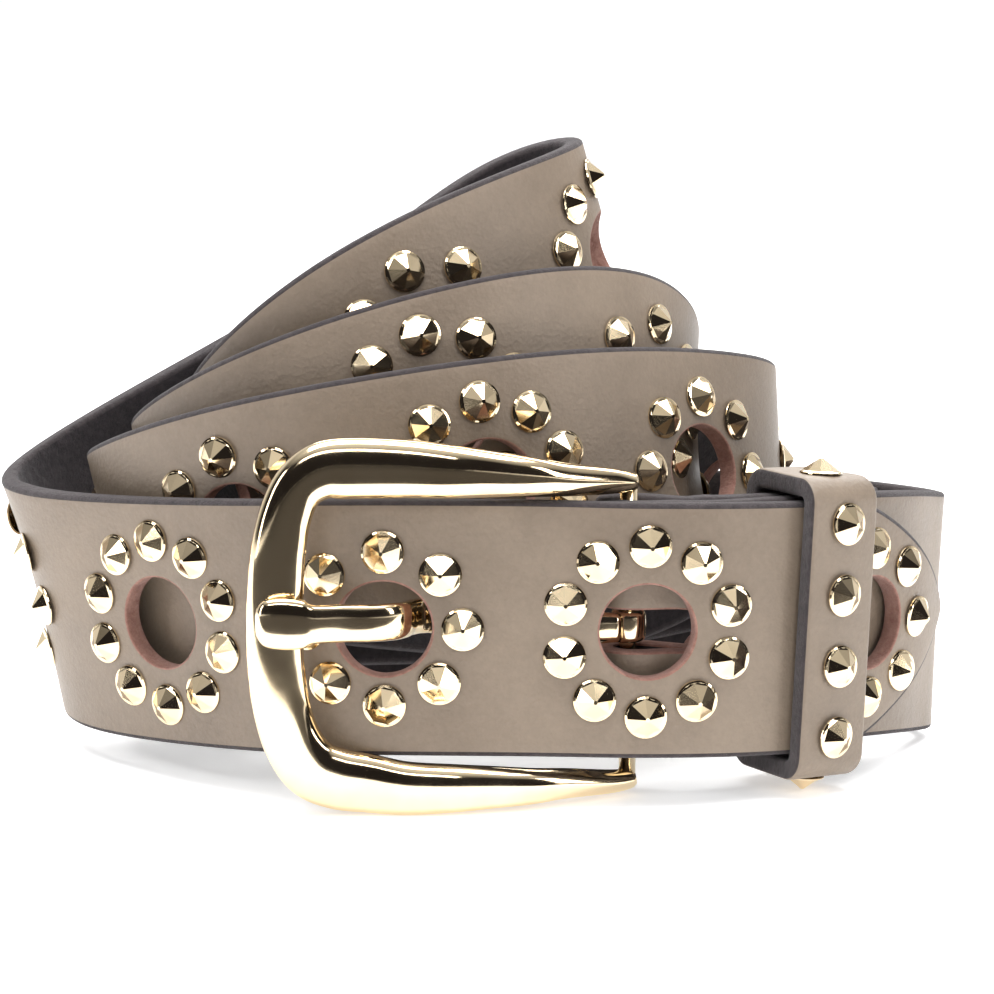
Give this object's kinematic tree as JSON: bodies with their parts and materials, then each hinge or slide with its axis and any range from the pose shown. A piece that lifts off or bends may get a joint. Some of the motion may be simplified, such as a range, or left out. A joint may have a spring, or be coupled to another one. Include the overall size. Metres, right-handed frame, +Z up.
{
  "type": "studded leather belt",
  "caption": "Leather belt fastened and coiled into standing turns, with rings of faceted studs around punched holes, a horseshoe buckle with prong, and a studded keeper loop.",
  "frame": {"origin": "middle of the belt's outer box, on the floor it stands on", "axes": "+Z up, -Y towards the buckle's front, +X towards the belt's end"},
  "size_m": [0.1492, 0.0896, 0.0949],
  "materials": {
    "leather": "satin",
    "keeper_leather": "satin",
    "pale_gold": "polished"
  },
  "bodies": {
    "root": {"buckle_frame": "pale_gold", "keeper_loop": "keeper_leather", "prong": "pale_gold", "strap": "leather", "stud_keeper_1": "pale_gold", "stud_keeper_2": "pale_gold", "stud_keeper_3": "pale_gold", "stud_keeper_4": "pale_gold", "stud_keeper_5": "pale_gold", "stud_keeper_6": "pale_gold", "stud_ring1_01": "pale_gold", "stud_ring1_02": "pale_gold", "stud_ring1_03": "pale_gold", "stud_ring1_04": "pale_gold", "stud_ring1_05": "pale_gold", "stud_ring2_01": "pale_gold", "stud_ring2_02": "pale_gold", "stud_ring2_03": "pale_gold", "stud_ring2_04": "pale_gold", "stud_ring2_05": "pale_gold", "stud_ring2_06": "pale_gold", "stud_ring2_07": "pale_gold", "stud_ring2_08": "pale_gold", "stud_ring2_09": "pale_gold", "stud_ring2_10": "pale_gold", "stud_ring3_01": "pale_gold", "stud_ring3_02": "pale_gold", "stud_ring3_03": "pale_gold", "stud_ring3_04": "pale_gold", "stud_ring3_05": "pale_gold", "stud_ring3_06": "pale_gold", "stud_ring3_07": "pale_gold", "stud_ring3_08": "pale_gold", "stud_ring4_01": "pale_gold", "stud_ring4_02": "pale_gold", "stud_ring4_03": "pale_gold", "stud_ring4_04": "pale_gold", "stud_ring4_05": "pale_gold", "stud_ring4_06": "pale_gold", "stud_ring4_07": "pale_gold", "stud_ring4_08": "pale_gold", "stud_ring4_09": "pale_gold", "stud_ring4_10": "pale_gold"}
  },
  "joints": []
}
